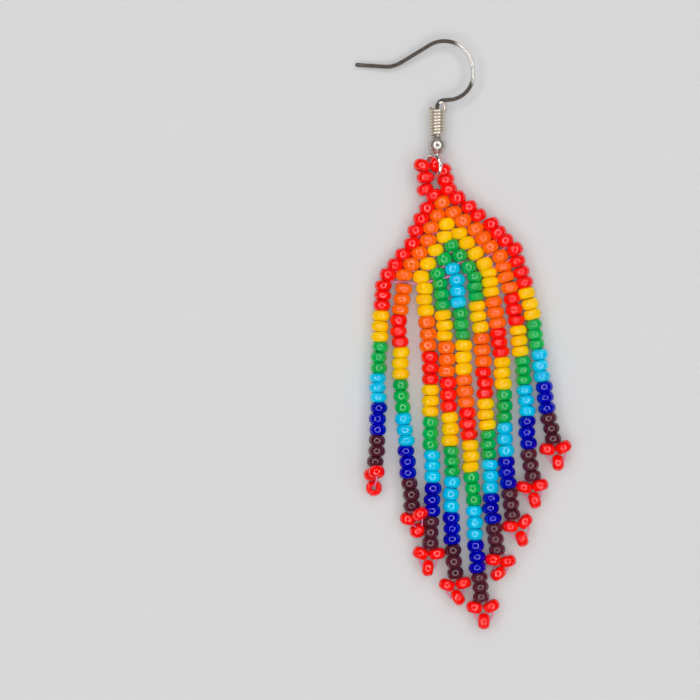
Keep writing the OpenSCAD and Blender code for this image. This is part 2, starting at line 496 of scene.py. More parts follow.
class Bench:
    """What is done by hand on the modelling bench, on one mesh at a time."""

    @staticmethod
    def clear() -> None:
        """Deselects every object, so that nothing else takes part in the next step."""
        bpy.ops.object.select_all(action="DESELECT")

    @staticmethod
    def take(*objects: bpy.types.Object) -> None:
        """Selects these objects and nothing else, and makes the first the active one.

        Args:
            objects: what the next step works on.
        """
        Bench.clear()
        for each in objects:
            each.select_set(True)
        bpy.context.view_layer.objects.active = objects[0]

    @staticmethod
    @contextmanager
    def editing(piece: bpy.types.Object) -> Iterator[None]:
        """Opens a piece in edit mode and leaves it after the block.

        Args:
            piece: the mesh to work on.
        """
        Bench.take(piece)
        bpy.ops.object.mode_set(mode="EDIT")
        bpy.ops.mesh.select_mode(type="VERT")
        yield
        bpy.ops.object.mode_set(mode="OBJECT")

    @staticmethod
    def pick(piece: bpy.types.Object, test: Callable[[Vector], bool]) -> None:
        """Selects, in edit mode, the points that pass a test and the faces between them.

        Args:
            piece: the object in edit mode.
            test: says for a point's place, in metres, whether it is selected.
        """
        bpy.ops.mesh.select_all(action="DESELECT")
        mesh = bmesh.from_edit_mesh(piece.data)
        for point in mesh.verts:
            point.select = test(point.co)
        mesh.select_flush(True)
        bmesh.update_edit_mesh(piece.data)

    @staticmethod
    def pick_rims() -> None:
        """Selects, in edit mode, the points round every opening."""
        bpy.ops.mesh.select_all(action="DESELECT")
        bpy.ops.mesh.select_non_manifold(
            extend=False, use_wire=False, use_boundary=True, use_multi_face=False,
            use_non_contiguous=False, use_verts=False,
        )

    @staticmethod
    def bake_place() -> None:
        """Moves the active object's place, turn and scale into its mesh."""
        bpy.ops.object.transform_apply(location=True, rotation=True, scale=True)

    @staticmethod
    def close(piece: bpy.types.Object, reach: float = 2e-6) -> None:
        """Merges the points that meet and turns all faces outwards.

        Args:
            piece: the mesh to close.
            reach: how far apart merged points may lie, in metres.
        """
        with Bench.editing(piece):
            bpy.ops.mesh.select_all(action="SELECT")
            bpy.ops.mesh.remove_doubles(threshold=reach)
            bpy.ops.mesh.normals_make_consistent(inside=False)

    @staticmethod
    def smooth(piece: bpy.types.Object, angle: float = 60.0) -> None:
        """Shades a piece smooth except over edges sharper than the angle."""
        Bench.take(piece)
        bpy.ops.object.shade_smooth_by_angle(angle=math.radians(angle))

    @staticmethod
    def dress(piece: bpy.types.Object, material: bpy.types.Material) -> None:
        """Gives the whole piece one material."""
        piece.data.materials.clear()
        piece.data.materials.append(material)

    @staticmethod
    def join(name: str, parts: Sequence[bpy.types.Object]) -> bpy.types.Object:
        """Joins parts into one piece.

        Args:
            name: the new piece's name.
            parts: meshes that each have their own data.

        Returns:
            The joined piece.
        """
        Bench.take(*parts)
        bpy.ops.object.join()
        piece = bpy.context.view_layer.objects.active
        piece.name = name
        piece.data.name = name
        return piece


@dataclass
class SeedBead:
    """The one seed bead that all others are copied from, with its hole along Y.

    Attributes:
        width: outer diameter.
        length: length along the hole.
        hole: diameter of the hole.
        crown: depth of the section's outer half, which gives its roundness.
        steps: faces round it.
        section: points round the glass's section.
        heart: how far left or right in the unit circle one of the section's halves begins.
        bore: how far left in it the hole's wall begins.
        pattern: the bead itself.
    """

    width: float = 2.48
    length: float = BEAD_LENGTH
    hole: float = 0.62
    crown: float = 0.6
    steps: int = 12
    section: int = 12
    heart: float = 0.1
    bore: float = 0.95
    pattern: bpy.types.Object = field(init=False)

    def __post_init__(self) -> None:
        """Shapes the section from a unit circle and turns it round the hole's axis."""
        middle = (self.width / 2 - self.crown) * MM
        depth = middle - self.hole / 2 * MM
        Bench.clear()
        bpy.ops.mesh.primitive_circle_add(
            vertices=self.section, radius=1.0, fill_type="NOTHING", location=(0, 0, 0),
        )
        ring = bpy.context.object
        Bench.bake_place()
        with Bench.editing(ring):
            Bench.pick(ring, lambda co: -self.bore < co.x < -self.heart)
            bpy.ops.mesh.dissolve_verts()
            Bench.pick(ring, lambda co: co.x > self.heart)
            bpy.ops.transform.resize(
                value=(self.crown * MM, 1.0, 1.0), center_override=(0, 0, 0),
            )
            Bench.pick(ring, lambda co: co.x < -self.heart)
            bpy.ops.transform.resize(value=(depth, 1.0, 1.0), center_override=(0, 0, 0))
            bpy.ops.mesh.select_all(action="SELECT")
            bpy.ops.transform.resize(
                value=(1.0, self.length / 2 * MM, 1.0), center_override=(0, 0, 0),
            )
            bpy.ops.transform.translate(value=(middle, 0, 0))
            bpy.ops.mesh.spin(
                steps=self.steps, angle=math.tau, center=(0, 0, 0), axis=(0, 1, 0),
            )
        Bench.close(ring)
        Bench.smooth(ring, angle=180.0)
        ring.data.attributes.new(SHADE, "FLOAT", "POINT")
        ring.name = "seed_bead_pattern"
        self.pattern = ring

    def copy(self, place: "BeadPlace") -> bpy.types.Object:
        """Copies the bead to a place, with its own mesh, colour and shade.

        Args:
            place: where it lies and how it differs from the pattern.

        Returns:
            The new bead.
        """
        mesh = self.pattern.data.copy()
        mesh.transform(place.matrix())
        mesh.attributes[SHADE].data.foreach_set("value", [place.shade] * len(mesh.vertices))
        mesh.materials.clear()
        mesh.materials.append(place.colour.finish().material())
        bead = bpy.data.objects.new("seed_bead", mesh)
        bpy.context.scene.collection.objects.link(bead)
        return bead

    def put_away(self) -> None:
        """Removes the pattern once all copies are made."""
        bpy.data.objects.remove(self.pattern, do_unlink=True)


@dataclass(frozen=True)
class BeadPlace:
    """Where a bead lies and how it differs from the pattern.

    Attributes:
        x: to the right.
        y: towards the ear wire.
        z: above the surface.
        colour: its glass.
        turn: of the hole's axis away from Y.
        rise: how far the hole's far end is raised.
        roll: turn round the hole's axis.
        width: outer diameter over the pattern's.
        length: length over the pattern's.
        shade: 0 for deeper glass and 1 for paler.
    """

    x: float
    y: float
    z: float
    colour: GlassColour
    turn: float = 0.0
    rise: float = 0.0
    roll: float = 0.0
    width: float = 1.0
    length: float = 1.0
    shade: float = 0.5

    def matrix(self) -> Matrix:
        """The move from the pattern's place to this one, in metres."""
        return (
            Matrix.Translation(Vector((self.x, self.y, self.z)) * MM)
            @ Matrix.Rotation(math.radians(self.turn), 4, "Z")
            @ Matrix.Rotation(math.radians(self.rise), 4, "X")
            @ Matrix.Rotation(math.radians(self.roll), 4, "Y")
            @ Matrix.Diagonal((self.width, self.length, self.width, 1.0))
        )

    def along(self, share: float) -> Vector:
        """A point on the hole's axis, share bead lengths from the middle, in millimetres."""
        reach = self.matrix().to_3x3() @ Vector((0.0, 1.0, 0.0))
        return Vector((self.x, self.y, self.z)) + reach * share * BEAD_LENGTH

    def varied(self, draw: random.Random, swing: float) -> "BeadPlace":
        """Gives the bead the small differences that real ones have.

        Args:
            draw: source of the differences.
            swing: how far the turn may be off.

        Returns:
            The changed place.
        """
        return replace(
            self,
            turn=self.turn + draw.uniform(-swing, swing),
            rise=self.rise + draw.uniform(*RISES),
            roll=draw.uniform(0.0, 360.0),
            width=self.width * BEAD_WIDTH[self.colour] * draw.uniform(*WIDTHS),
            length=self.length * draw.uniform(*LENGTHS),
            shade=draw.random(),
        )


# How beads differ at random: in their rise, and in width and length over the usual ones
RISES = (-3.0, 3.0)
WIDTHS = (0.98, 1.015)
LENGTHS = (1.0, 1.06)

# Where the thread bends inside, at and outside a bead's end, in bead lengths from its middle
INSIDE, RIM, OUTSIDE = 0.45, 0.5, 0.56

# How wide beads of a colour are over the pattern
BEAD_WIDTH = {
    GlassColour.RED: 1.02,
    GlassColour.ORANGE: 1.04,
    GlassColour.YELLOW: 1.05,
    GlassColour.GREEN: 0.95,
    GlassColour.TURQUOISE: 1.0,
    GlassColour.ROYAL_BLUE: 1.03,
    GlassColour.AUBERGINE: 0.99,
}


@dataclass(frozen=True)
class Thread:
    """Beading thread laid in smooth runs.

    Attributes:
        thickness: its diameter.
        least: lowest height of its middle, in thicknesses.
        order: how smoothly it rounds its points.
        steps: stretches of mesh from point to point.
        rounding: how finely its section is rounded.
    """

    thickness: float = 0.2
    least: float = 0.6
    order: int = 3
    steps: int = 3
    rounding: int = 1

    def lay(self, runs: Sequence[Sequence[Vector]]) -> bpy.types.Object:
        """Lays one thread along each run of points.

        Args:
            runs: for each thread the points it follows, in millimetres.

        Returns:
            The threads as one mesh.
        """
        Bench.clear()
        bpy.ops.curve.primitive_nurbs_path_add(location=(0, 0, 0))
        path = bpy.context.object
        path.data.splines.clear()
        for run in runs:
            line = path.data.splines.new("NURBS")
            line.points.add(len(run) - 1)
            for point, place in zip(line.points, run):
                z = max(place.z, self.thickness * self.least)
                point.co = (place.x * MM, place.y * MM, z * MM, 1.0)
            line.order_u = self.order
            line.use_endpoint_u = True
            line.resolution_u = self.steps
        path.data.bevel_depth = self.thickness / 2 * MM
        path.data.bevel_resolution = self.rounding
        path.data.use_fill_caps = True
        bpy.ops.object.convert(target="MESH")
        thread = bpy.context.view_layer.objects.active
        Bench.close(thread)
        Bench.smooth(thread)
        Bench.dress(thread, ThreadFinish().material())
        thread.data.attributes.new(SHADE, "FLOAT", "POINT")
        return thread


@dataclass
class BeadWork:
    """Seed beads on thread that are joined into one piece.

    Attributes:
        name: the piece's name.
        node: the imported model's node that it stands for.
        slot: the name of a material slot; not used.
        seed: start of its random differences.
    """

    name: str
    node: str
    slot: str
    seed: int

    def places(self) -> list[BeadPlace]:
        """The beads' places, along the thread or row by row."""
        raise NotImplementedError

    def runs(self, places: Sequence[BeadPlace]) -> list[list[Vector]]:
        """The threads' points, given the beads' places."""
        raise NotImplementedError

    def build(self, bead: SeedBead) -> None:
        """Copies the beads, lays the thread, and joins and sets both in the frame.

        Args:
            bead: the pattern to copy.
        """
        places = self.places()
        parts = [bead.copy(place) for place in places]
        parts.append(Thread().lay(self.runs(places)))
        set_in_frame(Bench.join(self.name, parts), self.node)


@dataclass
class FringeStrand(BeadWork):
    """One strand of the fringe.

    Attributes:
        colours: letters of its colours from the upper end.
        top: Y of the upper end.
        marks: Y at the lower end of each colour.
        bends: X at even steps from the upper end to the lower one.
        beads: how many beads each colour has.
        height: of the beads' middle above the surface.
        shares: shortest and longest bead next to the others of its colour.
        stray: how far beside the strand's line a bead may lie.
        lifts: how far above the height a bead may lie.
        swing: how far a bead's turn may be off.
    """

    colours: str
    top: float
    marks: tuple[float, ...]
    bends: tuple[float, ...]
    beads: int = 3
    height: float = 1.32
    shares: tuple[float, float] = (0.94, 1.06)
    stray: float = 0.12
    lifts: tuple[float, float] = (-0.02, 0.05)
    swing: float = 5.5

    def x_at(self, y: float) -> float:
        """Follows a smooth line through the strand's bends.

        Args:
            y: Y on the strand.

        Returns:
            X of the line there.
        """
        last = len(self.bends) - 1
        step = min(max((self.top - y) / (self.top - self.marks[-1]) * last, 0.0), float(last))
        k = min(int(step), last - 1)
        t = step - k
        p = [self.bends[min(max(k + j, 0), last)] for j in (-1, 0, 1, 2)]
        return 0.5 * (
            2 * p[1] + (p[2] - p[0]) * t
            + (2 * p[0] - 5 * p[1] + 4 * p[2] - p[3]) * t ** 2
            + (3 * p[1] - p[0] - 3 * p[2] + p[3]) * t ** 3
        )

    def places(self) -> list[BeadPlace]:
        """The beads' places, one against the next.

        Returns:
            The places.
        """
        draw = random.Random(self.seed)
        made = []
        upper = self.top
        for letter, lower in zip(self.colours, self.marks):
            lengths = [draw.uniform(*self.shares) for _ in range(self.beads)]
            scale = (upper - lower) / sum(lengths)
            for length in lengths:
                low = upper - length * scale
                y = (upper + low) / 2
                lean = math.degrees(math.atan2(self.x_at(low) - self.x_at(upper), upper - low))
                made.append(BeadPlace(
                    self.x_at(y) + draw.uniform(-self.stray, self.stray), y,
                    self.height + draw.uniform(*self.lifts), GlassColour(letter), lean,
                    length=(upper - low) / BEAD_LENGTH,
                ).varied(draw, self.swing))
                upper = low
        return made

    def runs(self, places: Sequence[BeadPlace]) -> list[list[Vector]]:
        """One thread through all the holes."""
        inner = [place.along(0.0) for place in places]
        return [[places[0].along(INSIDE), *inner, places[-1].along(-INSIDE)]]


@dataclass
class Picot(BeadWork):
    """Three red beads that end a strand.

    Attributes:
        top: X, Y and Z where its thread leaves the strand.
        layout: for its left, right and lowest bead X, Y, Z, turn and rise.
        width: its beads' width over the usual one.
        length: its beads' length over the usual one.
        swing: how far a bead's turn may be off.
        neck: how far above an upper bead's middle the thread turns to the strand, in bead
            lengths.
        standing: rise above which the lowest bead stands with its hole upright.
        dip: how far above its middle the thread goes into such a bead, in bead lengths.
        side: how far to the left and right in its hole the thread goes down and up.
        back: how far towards the ear wire in its hole the thread lies.
    """

    top: tuple[float, float, float]
    layout: tuple[tuple[float, ...], ...]
    width: float = 0.96
    length: float = 1.03
    swing: float = 0.5
    neck: float = 0.55
    standing: float = 80.0
    dip: float = 0.35
    side: float = 0.09
    back: float = 0.18

    def places(self) -> list[BeadPlace]:
        """The three beads' places: left, right and lowest.

        Returns:
            The places.
        """
        draw = random.Random(self.seed)
        return [
            BeadPlace(
                x, y, z, GlassColour.RED, turn, rise, width=self.width, length=self.length,
            ).varied(draw, self.swing)
            for x, y, z, turn, rise in self.layout
        ]

    def runs(self, places: Sequence[BeadPlace]) -> list[list[Vector]]:
        """One thread from the strand through all three holes and back.

        Args:
            places: the beads' places.

        Returns:
            The points of each thread, in millimetres.
        """
        left, right, low = places
        top = Vector(self.top)
        if low.rise > self.standing:
            side, back = Vector((self.side, 0.0, 0.0)), Vector((0.0, self.back, 0.0))
            upper, lower = low.along(self.dip) + back, low.along(-OUTSIDE) + back
            inside = [upper - side, lower - side, lower + side, upper + side]
        else:
            ends = (low.along(OUTSIDE), low.along(-OUTSIDE))
            near, far = sorted(ends, key=lambda end: (end - left.along(-RIM)).length)
            inside = [near, low.along(0.0), far]
        return [[
            top, left.along(self.neck), left.along(0.0), left.along(-RIM), *inside,
            right.along(-RIM), right.along(0.0), right.along(self.neck), top,
        ]]


@dataclass(frozen=True)
class Row:
    """One row of the woven top.

    Attributes:
        colours: letters of its beads from the left.
        x: X halfway between its end beads.
        y: Y halfway between its end beads.
        tilt: how far it rises to the right.
        sag: how far its middle hangs down.
        peak: how far its middle comes up again.
        lift: how high the thread below it is drawn up between the beads.
    """

    colours: str
    x: float
    y: float
    tilt: float
    sag: float
    peak: float
    lift: float

    def at(self, i: int, step: float) -> tuple[float, float, float]:
        """Where one of its beads lies.

        Args:
            i: number of the bead from the left.
            step: distance between neighbouring beads.

        Returns:
            X, Y and the turn of the hole's axis away from Y.
        """
        half = (len(self.colours) - 1) / 2
        u = (i - half) / half
        across = (i - half) * step
        down = (self.sag - self.peak * math.cos(math.tau * u)) * (1 - u * u)
        slope = math.degrees(math.atan(2 * self.sag * u / (half * step)))
        cos, sin = math.cos(math.radians(self.tilt)), math.sin(math.radians(self.tilt))
        return (
            self.x + across * cos + down * sin,
            self.y + across * sin - down * cos,
            self.tilt + slope,
        )


@dataclass
class WovenTop(BeadWork):
    """Brick-stitched triangle of eight rows.

    Attributes:
        step: distance between neighbouring beads of a row.
        height: of the beads' middle above the surface.
        rows: its rows from the top.
        stray: how far beside its place a bead may lie.
        unevenness: how far above or below the height a bead may lie.
        swing: how far a bead's turn may be off.
        lengths: shortest and longest bead over the usual one.
        widths: narrowest and widest bead over the usual one.
        drop: how far below a row the thread runs, in bead lengths from its middle.
        slip: how far off in Y the thread may lie.
        slack: how far below and above its lift the thread may lie.
    """

    step: float = 2.32
    height: float = 1.34
    rows: tuple[Row, ...] = (
        Row("RR", -3.32, 20.33, 23.5, 0.0, 0.0, 0.1),
        Row("ROR", -3.15, 18.89, 18.5, 0.0, 0.0, 0.1),
        Row("ROOR", -2.72, 17.40, 13.5, 0.1, 0.1, 0.1),
        Row("ROYOR", -2.50, 15.96, 13.2, 0.2, 0.1, 0.1),
        Row("ROYYOR", -1.80, 14.42, 13.1, 0.2, 0.05, 0.1),
        Row("ROYGYOR", -1.91, 13.02, 12.9, 0.4, 0.15, 0.2),
        Row("ROYGGYOR", -1.95, 11.70, 12.6, 0.85, 0.3, 0.6),
        Row("ROYGBGYOR", -1.84, 10.32, 11.1, 1.25, 0.35, 0.45),
    )
    stray: float = 0.08
    unevenness: float = 0.05
    swing: float = 7.0
    lengths: tuple[float, float] = (1.05, 1.18)
    widths: tuple[float, float] = (0.95, 0.99)
    drop: float = 0.62
    slip: float = 0.14
    slack: tuple[float, float] = (-0.3, 0.1)

    def places(self) -> list[BeadPlace]:
        """The beads' places, row by row from the top.

        Returns:
            The places.
        """
        draw = random.Random(self.seed)
        made = []
        for row in self.rows:
            for i, letter in enumerate(row.colours):
                x, y, turn = row.at(i, self.step)
                made.append(BeadPlace(
                    x + draw.uniform(-self.stray, self.stray),
                    y + draw.uniform(-self.stray, self.stray),
                    self.height + draw.uniform(-self.unevenness, self.unevenness),
                    GlassColour(letter), turn,
                    length=draw.uniform(*self.lengths), width=draw.uniform(*self.widths),
                ).varied(draw, self.swing))
        return made

    def runs(self, places: Sequence[BeadPlace]) -> list[list[Vector]]:
        """Threads along the lower side of each row, and up through every bead.

        Args:
            places: the beads' places.

        Returns:
            The points of each thread, in millimetres.
        """
        draw = random.Random(self.seed + 1)
        made = []
        start = 0
        for row in self.rows:
            beads = places[start:start + len(row.colours)]
            start += len(beads)
            run = [beads[0].along(-RIM)]
            for bead, after in zip(beads, beads[1:]):
                between = (bead.along(-self.drop) + after.along(-self.drop)) / 2
                slip = draw.uniform(-self.slip, self.slip)
                between += Vector((0.0, slip, row.lift + draw.uniform(*self.slack)))
                run.extend([between, after.along(-RIM)])
            made.append(run)
            made.extend(
                [bead.along(OUTSIDE), bead.along(0.0), bead.along(-OUTSIDE)] for bead in beads
            )
        return made


@dataclass
class HangingLoop(BeadWork):
    """Six red beads on the loop that hangs in the ear wire's eye.

    Attributes:
        layout: for each bead X, Y, Z, turn and rise, up the left side and down the right.
        upwards: how many of them the thread goes through upwards.
        swing: how far a bead's turn may be off.
        hold: how far below a bead's middle the thread is held, in bead lengths.
        tail: how far below the lowest beads the thread goes on, in bead lengths.
    """

    layout: tuple[tuple[float, ...], ...] = (
        (-5.62, 20.80, 1.30, 20, 0),
        (-5.60, 22.46, 1.80, 4, 0),
        (-6.06, 24.16, 1.95, -20, -14),
        (-4.06, 24.40, 1.29, -90, 0),
        (-2.92, 23.38, 1.26, 50, 0),
        (-2.62, 22.16, 1.30, 20, 0),
    )
    upwards: int = 4
    swing: float = 0.5
    hold: float = 0.2
    tail: float = 1.1

    def places(self) -> list[BeadPlace]:
        """The six beads' places.

        Returns:
            The places.
        """
        draw = random.Random(self.seed)
        return [
            BeadPlace(x, y, z, GlassColour.RED, turn, rise).varied(draw, self.swing)
            for x, y, z, turn, rise in self.layout
        ]

    def runs(self, places: Sequence[BeadPlace]) -> list[list[Vector]]:
        """One thread up through the left beads, across, and down through the right ones.

        Args:
            places: the beads' places.

        Returns:
            The points of each thread, in millimetres.
        """
        run = [places[0].along(-self.tail), places[0].along(-RIM)]
        for bead in places[:self.upwards]:
            run.extend([bead.along(-self.hold), bead.along(INSIDE)])
        for bead in places[self.upwards:]:
            run.extend([bead.along(INSIDE), bead.along(-self.hold)])
        run.append(places[-1].along(-self.tail))
        return [run]


@dataclass
class WireBender:
    """Bends round wire as on a jig: it starts as a ring of points, drawn out and spun.

    Attributes:
        radius: of the wire, in metres.
        place: of the ring's centre, in metres.
        heading: unit vector along the wire.
        normal: unit vector of the plane in which it is bent.
        sides: points round the wire.
        step: degrees of a bend from one ring of points to the next.
        dome: each ring of the end's dome, as its step over the wire's radius and its size
            over the ring before it.
        cap: how far the last point stands out of the dome, over the wire's radius.
        wire: the wire in the making.
    """

    radius: float
    place: Vector
    heading: Vector
    normal: Vector
    sides: int = 24
    step: float = 4.0
    dome: tuple[tuple[float, float], ...] = ((0.35, 0.94), (0.3, 0.8), (0.2, 0.6))
    cap: float = 0.05
    wire: bpy.types.Object = field(init=False)

    def __post_init__(self) -> None:
        """Makes the first ring, open at both ends, and opens it in edit mode."""
        Bench.clear()
        bpy.ops.mesh.primitive_circle_add(
            vertices=self.sides, radius=self.radius, fill_type="NOTHING", location=self.place,
            rotation=self.heading.to_track_quat("Z", "Y").to_euler(),
        )
        self.wire = bpy.context.object
        Bench.bake_place()
        bpy.ops.object.mode_set(mode="EDIT")
        bpy.ops.mesh.select_mode(type="VERT")
        bpy.ops.mesh.select_all(action="SELECT")

    def draw_out(self, length: float) -> None:
        """Lengthens the wire straight on.

        Args:
            length: of the new stretch, in metres.
        """
        move = self.heading * length
        bpy.ops.mesh.extrude_region_move(TRANSFORM_OT_translate={"value": move})
        self.place = self.place + move

    def bend(self, radius: float, angle: float) -> None:
        """Bends the wire round a peg.

        Args:
            radius: of the bend at the wire's middle, in metres.
            angle: in degrees, anticlockwise seen against the normal.
        """
        side = self.normal.cross(self.heading) * math.copysign(1.0, angle)
        centre = self.place + side * radius
        bpy.ops.mesh.spin(
            steps=round(abs(angle) / self.step), angle=-math.radians(angle),
            center=centre, axis=self.normal,
        )
        turn = Matrix.Rotation(math.radians(angle), 3, self.normal)
        self.place = centre + turn @ (self.place - centre)
        self.heading = turn @ self.heading

    def round_off(self) -> None:
        """Ends the wire in a low dome."""
        for step, size in self.dome:
            self.draw_out(self.radius * step)
            bpy.ops.transform.resize(value=(size, size, size), center_override=self.place)
        self.draw_out(self.radius * self.cap)
        bpy.ops.mesh.merge(type="CENTER")

    def done(self) -> bpy.types.Object:
        """Leaves edit mode and hands over the wire."""
        bpy.ops.object.mode_set(mode="OBJECT")
        return self.wire


@dataclass
class EarWire:
    """Fish-hook ear wire with its stem and the closed eye at the bottom.

    Attributes:
        wire: diameter of the wire.
        stem_x: X of the stem's axis.
        stem_z: height of the stem's axis.
        stem_bottom: Y where the stem ends above the eye.
        stem_top: Y where the first bend starts.
        bends: straight length, bend radius and angle, one after the other.
        tip: straight length at the free end.
        drop: how far the hook's plane leans down to the left.
        eye: X, Y and Z of the eye's centre.
        eye_radius: at the wire's middle.
        eye_lean: how far the eye leans over from upright.
        eye_twist: how far the eye's upper end is turned to the left.
        eye_neck: angle in the eye where its neck comes in.
        eye_turn: how far round the eye goes.
        neck_rings: rings of points in the neck between the stem and the eye.
        neck_flow: how smoothly the neck goes over into both.
        finish: its silver, with painted shade on the hook's left arm.
    """

    wire: float = 0.56
    stem_x: float = -3.86
    stem_z: float = 1.3
    stem_bottom: float = 25.59
    stem_top: float = 32.6
    bends: tuple[tuple[float, float, float], ...] = (
        (0.0, 1.0, -87.0),
        (0.8, 3.6, 92.0),
        (0.8, 4.1, 116.0),
        (4.8, 4.0, -35.0),
    )
    tip: float = 4.0
    drop: float = 4.9
    eye: tuple[float, float, float] = (-4.42, 24.14, 1.55)
    eye_radius: float = 1.56
    eye_lean: float = 37.0
    eye_twist: float = 8.0
    eye_neck: float = 58.0
    eye_turn: float = -313.0
    neck_rings: int = 8
    neck_flow: float = 0.7
    # The last three values paint shade on the hook's left arm, dark brown where reflections are
    # missing.
    finish: SilverFinish = SilverFinish(
        "polished_wire_silver", (253, 248, 243), (98, 90, 84), roughness=0.19, metal=0.9,
        shade_from=14.85, shade_to=14.15, shade_above=31.5,
    )

    def hook(self) -> bpy.types.Object:
        """Bends the stem and the hook, from the stem's bottom to the free end.

        Returns:
            Their wire, open at the bottom.
        """
        lean = math.radians(self.drop)
        bender = WireBender(
            self.wire / 2 * MM,
            Vector((self.stem_x, self.stem_bottom, self.stem_z)) * MM,
            Vector((0.0, 1.0, 0.0)),
            Vector((-math.sin(lean), 0.0, math.cos(lean))),
        )
        bender.draw_out((self.stem_top - self.stem_bottom) * MM)
        for straight, radius, angle in self.bends:
            if straight:
                bender.draw_out(straight * MM)
            bender.bend(radius * MM, angle)
        bender.draw_out(self.tip * MM)
        bender.round_off()
        return bender.done()

    def eye_ring(self) -> bpy.types.Object:
        """Bends the eye, from its neck round to its cut end.

        Returns:
            Its wire, open at the neck.
        """
        lean, start = math.radians(self.eye_lean), math.radians(self.eye_neck)
        turn = Matrix.Rotation(math.radians(self.eye_twist), 3, "Z")
        across = turn @ Vector((math.sin(lean), 0.0, math.cos(lean)))
        along = turn @ Vector((0.0, 1.0, 0.0))
        spoke = (across * math.cos(start) + along * math.sin(start)) * self.eye_radius
        heading = across * math.sin(start) - along * math.cos(start)
        bender = WireBender(
            self.wire / 2 * MM, (Vector(self.eye) + spoke) * MM, heading, across.cross(along),
        )
        bender.bend(self.eye_radius * MM, self.eye_turn)
        bender.round_off()
        return bender.done()

    def build(self) -> None:
        """Joins the hook and the eye over a smooth neck, and sets them in the frame."""
        hook, eye = self.hook(), self.eye_ring()
        piece = Bench.join("polished_ear_wire", [hook, eye])
        with Bench.editing(piece):
            Bench.pick_rims()
            bpy.ops.mesh.bridge_edge_loops(
                number_cuts=self.neck_rings, interpolation="SURFACE", smoothness=self.neck_flow,
            )
        Bench.close(piece)
        Bench.smooth(piece)
        Bench.dress(piece, self.finish.material())
        set_in_frame(piece, "ear_wire")


@dataclass
class Coil:
    """Close-wound silver coil round the stem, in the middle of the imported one.

    Attributes:
        wire: diameter of its wire.
        width: outer diameter.
        turns: number of turns.
        pitch: distance from turn to turn.
        end: points of the wire's end that curls up beside the stem.
        taper: thickness of that end over the wire's.
        sides: points round the wire.
        steps: rings of points in a turn.
        finish: its silver.
    """

    wire: float = 0.44
    width: float = 2.3
    turns: float = 8.25
    pitch: float = 0.45
    end: tuple[tuple[float, float, float], ...] = (
        (-2.95, 31.60, 1.10), (-2.74, 32.20, 1.50), (-2.82, 33.05, 1.75), (-3.20, 33.40, 1.75),
        (-3.50, 33.15, 1.60),
    )
    taper: float = 0.8
    sides: int = 12
    steps: int = 28
    finish: SilverFinish = SilverFinish(
        "wound_wire_silver", (228, 217, 201), (190, 180, 170), roughness=0.22, metal=0.7,
    )

    def build(self) -> None:
        """Winds the coil and sets it in the frame."""
        Bench.clear()
        away = (self.width - self.wire) / 2 * MM
        bpy.ops.mesh.primitive_circle_add(
            vertices=self.sides, radius=self.wire / 2 * MM, fill_type="NOTHING",
            location=(0, away, 0), rotation=(0, math.radians(90), 0),
        )
        piece = bpy.context.object
        Bench.bake_place()
        screw = piece.modifiers.new("winding", "SCREW")
        screw.steps = round(self.steps * self.turns)
        screw.render_steps = screw.steps
        screw.angle = math.tau * self.turns
        screw.screw_offset = self.pitch * self.turns * MM
        screw.axis = "Z"
        screw.use_merge_vertices = False
        bpy.ops.object.modifier_apply(modifier=screw.name)
        with Bench.editing(piece):
            Bench.pick_rims()
            bpy.ops.mesh.fill_holes(sides=0)
        Bench.take(piece)
        half_length = Vector((0.0, self.pitch * self.turns / 2, 0.0))
        piece.location = (middle_of("coil") - half_length) * MM
        piece.rotation_euler = (math.radians(-90), 0, 0)
        Bench.bake_place()
        Bench.close(piece)
        Bench.smooth(piece)
        end = Thread(self.wire * self.taper).lay([[Vector(point) for point in self.end]])
        piece = Bench.join("wound_coil", [piece, end])
        Bench.dress(piece, self.finish.material())
        set_in_frame(piece, "coil")


@dataclass
class Ball:
    """Drilled silver ball on the stem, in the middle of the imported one.

    Attributes:
        width: its diameter.
        hole: diameter of its bore.
        segments: faces round it.
        rings: rings of faces from pole to pole.
        finish: its silver.
    """

    width: float = 2.56
    hole: float = 0.8
    segments: int = 32
    rings: int = 24
    finish: SilverFinish = SilverFinish(
        "polished_ball_silver", (204, 199, 192), (170, 166, 160), roughness=0.3, metal=0.82,
    )

    def build(self) -> None:
        """Shapes and drills the ball and sets it in the frame."""
        Bench.clear()
        radius = self.width / 2 * MM
        bpy.ops.mesh.primitive_uv_sphere_add(
            segments=self.segments, ring_count=self.rings, radius=radius, location=(0, 0, 0),
        )
        piece = bpy.context.object
        rim = math.sqrt(radius ** 2 - (self.hole / 2 * MM) ** 2)
        with Bench.editing(piece):
            for end in (1.0, -1.0):
                bpy.ops.mesh.select_all(action="SELECT")
                bpy.ops.mesh.bisect(
                    plane_co=(0, 0, end * rim), plane_no=(0, 0, end), clear_outer=True,
                )
            Bench.pick_rims()
            bpy.ops.mesh.bridge_edge_loops()
        piece.location = middle_of("ball") * MM
        piece.rotation_euler = (math.radians(-90), 0, 0)
        Bench.take(piece)
        Bench.bake_place()
        Bench.close(piece)
        Bench.smooth(piece, angle=40.0)
        Bench.dress(piece, self.finish.material())
        piece.name = "polished_ball"
        set_in_frame(piece, "ball")


